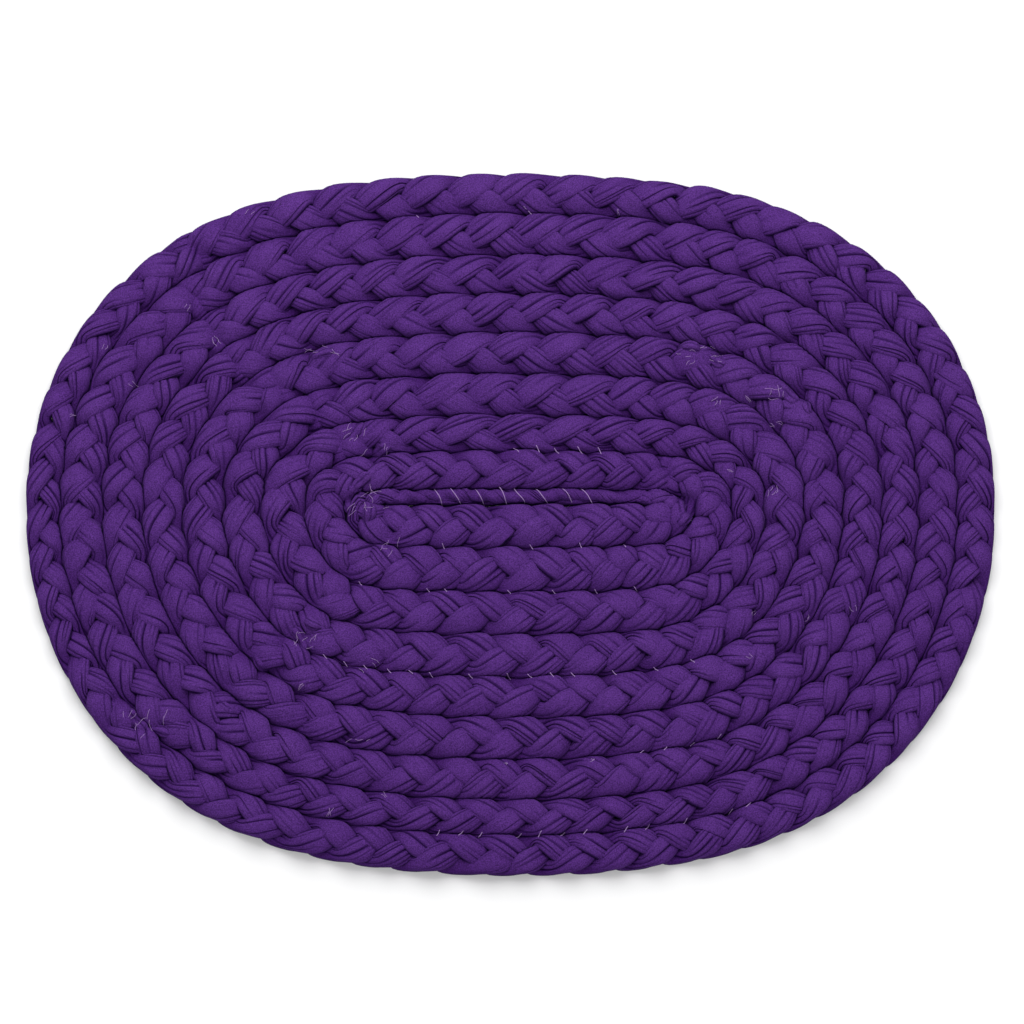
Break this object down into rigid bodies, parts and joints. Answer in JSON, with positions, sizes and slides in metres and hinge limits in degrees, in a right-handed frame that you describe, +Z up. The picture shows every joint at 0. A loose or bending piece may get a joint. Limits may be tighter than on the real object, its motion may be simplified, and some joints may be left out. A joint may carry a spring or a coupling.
{
  "type": "braided rug",
  "caption": "Flat oval rug made of a plaited cloth braid that is laid in laps around a straight middle and laced edge to edge.",
  "frame": {"origin": "middle of the flat underside", "axes": "+X along the rug's length, +Y towards its back edge, +Z up out of its face"},
  "size_m": [0.6002, 0.4501, 0.0131],
  "materials": {
    "cloth": "matt jersey cloth, dark purple",
    "thread": "thin pale lilac lacing thread"
  },
  "bodies": {
    "root": {"braid": "cloth"}
  },
  "joints": []
}
